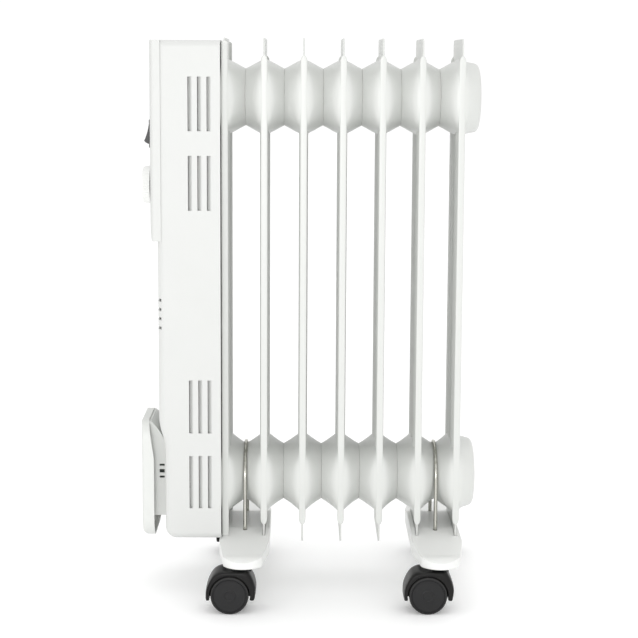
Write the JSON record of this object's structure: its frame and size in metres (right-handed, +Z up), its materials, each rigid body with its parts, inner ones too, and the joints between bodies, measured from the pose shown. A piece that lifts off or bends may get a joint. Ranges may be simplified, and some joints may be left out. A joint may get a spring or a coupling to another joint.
{
  "type": "oil filled radiator heater",
  "caption": "Free-standing oil filled column heater: white pressed fins joined by headers, control housing with knob, rockers and cord winder, cross feet on swivel casters.",
  "frame": {"origin": "on the floor under the centre of the heater's box", "axes": "+Z up, +X from the control housing to the last fin, +Y to the left of a person facing the controls"},
  "size_m": [0.3691, 0.239, 0.605],
  "materials": {
    "white_paint": "satin powder coat",
    "housing_plastic": "fine satin",
    "foot_plastic": "satin",
    "black_plastic": "semi gloss",
    "caster_plastic": "satin",
    "plated_steel": "zinc plated",
    "steel_tube": "drawn",
    "brass_plug": "machined",
    "fibre": "matt",
    "ceramic": "unglazed"
  },
  "bodies": {
    "heater": {"back_plate": "white_paint", "control_panel": "housing_plastic", "cord_gland": "black_plastic", "cord_winder": "housing_plastic", "element_beads": "ceramic", "element_bushing": "steel_tube", "element_gasket": "fibre", "element_pins": "steel_tube", "element_plug": "brass_plug", "fin_1": "white_paint", "fin_2": "white_paint", "fin_3": "white_paint", "fin_4": "white_paint", "fin_5": "white_paint", "fin_6": "white_paint", "fin_7": "white_paint", "foot_front": "foot_plastic", "foot_rear": "foot_plastic", "heating_tube_high_power": "steel_tube", "heating_tube_low_power": "steel_tube", "housing": "housing_plastic", "housing_screws": "plated_steel", "mount_nuts": "plated_steel", "mount_spacers": "plated_steel", "mount_studs": "plated_steel", "panel_screws": "plated_steel", "switch_case_left": "black_plastic", "switch_case_right": "black_plastic", "terminal_block": "black_plastic", "thermal_cutout": "plated_steel", "thermostat": "black_plastic", "u_bolts": "plated_steel", "winder_screws": "plated_steel", "wing_nuts": "plated_steel"},
    "knob": {"thermostat_knob": "housing_plastic", "thermostat_shaft": "plated_steel"},
    "rocker_right": {"rocker_right": "black_plastic"},
    "rocker_left": {"rocker_left": "black_plastic"},
    "caster_front_right": {"caster_front_right_hood": "caster_plastic", "caster_front_right_stem": "plated_steel", "caster_front_right_axle": "plated_steel"},
    "caster_front_right_wheel_outer": {"caster_front_right_wheel_outer": "caster_plastic"},
    "caster_front_right_wheel_inner": {"caster_front_right_wheel_inner": "caster_plastic"},
    "caster_front_left": {"caster_front_left_hood": "caster_plastic", "caster_front_left_stem": "plated_steel", "caster_front_left_axle": "plated_steel"},
    "caster_front_left_wheel_outer": {"caster_front_left_wheel_outer": "caster_plastic"},
    "caster_front_left_wheel_inner": {"caster_front_left_wheel_inner": "caster_plastic"},
    "caster_rear_right": {"caster_rear_right_hood": "caster_plastic", "caster_rear_right_stem": "plated_steel", "caster_rear_right_axle": "plated_steel"},
    "caster_rear_right_wheel_outer": {"caster_rear_right_wheel_outer": "caster_plastic"},
    "caster_rear_right_wheel_inner": {"caster_rear_right_wheel_inner": "caster_plastic"},
    "caster_rear_left": {"caster_rear_left_hood": "caster_plastic", "caster_rear_left_stem": "plated_steel", "caster_rear_left_axle": "plated_steel"},
    "caster_rear_left_wheel_outer": {"caster_rear_left_wheel_outer": "caster_plastic"},
    "caster_rear_left_wheel_inner": {"caster_rear_left_wheel_inner": "caster_plastic"}
  },
  "joints": [
    {"name": "thermostat_turn", "type": "hinge", "parent": "heater", "child": "knob", "pos_m": [-0.17245, 0, 0.446], "axis": [1, 0, 0], "range_deg": [0, 270]},
    {"name": "rocker_right_tip", "type": "hinge", "parent": "heater", "child": "rocker_right", "pos_m": [-0.16695, -0.01, 0.5023], "axis": [0, -1, 0], "range_deg": [0, 30.2]},
    {"name": "rocker_left_tip", "type": "hinge", "parent": "heater", "child": "rocker_left", "pos_m": [-0.16695, 0.01, 0.5023], "axis": [0, -1, 0], "range_deg": [0, 30.2]},
    {"name": "caster_front_right_swivel", "type": "hinge", "parent": "heater", "child": "caster_front_right", "pos_m": [-0.06895, -0.1025, 0.0485], "axis": [0, 0, 1], "continuous": true},
    {"name": "caster_front_right_wheel_outer_roll", "type": "hinge", "parent": "caster_front_right", "child": "caster_front_right_wheel_outer", "pos_m": [-0.08245, -0.1025, 0.0202], "axis": [0, 1, 0], "continuous": true},
    {"name": "caster_front_right_wheel_inner_roll", "type": "hinge", "parent": "caster_front_right", "child": "caster_front_right_wheel_inner", "pos_m": [-0.08245, -0.1025, 0.0202], "axis": [0, 1, 0], "continuous": true},
    {"name": "caster_front_left_swivel", "type": "hinge", "parent": "heater", "child": "caster_front_left", "pos_m": [-0.06895, 0.1025, 0.0485], "axis": [0, 0, 1], "continuous": true},
    {"name": "caster_front_left_wheel_outer_roll", "type": "hinge", "parent": "caster_front_left", "child": "caster_front_left_wheel_outer", "pos_m": [-0.08245, 0.1025, 0.0202], "axis": [0, 1, 0], "continuous": true},
    {"name": "caster_front_left_wheel_inner_roll", "type": "hinge", "parent": "caster_front_left", "child": "caster_front_left_wheel_inner", "pos_m": [-0.08245, 0.1025, 0.0202], "axis": [0, 1, 0], "continuous": true},
    {"name": "caster_rear_right_swivel", "type": "hinge", "parent": "heater", "child": "caster_rear_right", "pos_m": [0.14105, -0.1025, 0.0485], "axis": [0, 0, 1], "continuous": true},
    {"name": "caster_rear_right_wheel_outer_roll", "type": "hinge", "parent": "caster_rear_right", "child": "caster_rear_right_wheel_outer", "pos_m": [0.12755, -0.1025, 0.0202], "axis": [0, 1, 0], "continuous": true},
    {"name": "caster_rear_right_wheel_inner_roll", "type": "hinge", "parent": "caster_rear_right", "child": "caster_rear_right_wheel_inner", "pos_m": [0.12755, -0.1025, 0.0202], "axis": [0, 1, 0], "continuous": true},
    {"name": "caster_rear_left_swivel", "type": "hinge", "parent": "heater", "child": "caster_rear_left", "pos_m": [0.14105, 0.1025, 0.0485], "axis": [0, 0, 1], "continuous": true},
    {"name": "caster_rear_left_wheel_outer_roll", "type": "hinge", "parent": "caster_rear_left", "child": "caster_rear_left_wheel_outer", "pos_m": [0.15455, 0.1025, 0.0202], "axis": [0, 1, 0], "continuous": true},
    {"name": "caster_rear_left_wheel_inner_roll", "type": "hinge", "parent": "caster_rear_left", "child": "caster_rear_left_wheel_inner", "pos_m": [0.15455, 0.1025, 0.0202], "axis": [0, 1, 0], "continuous": true}
  ]
}
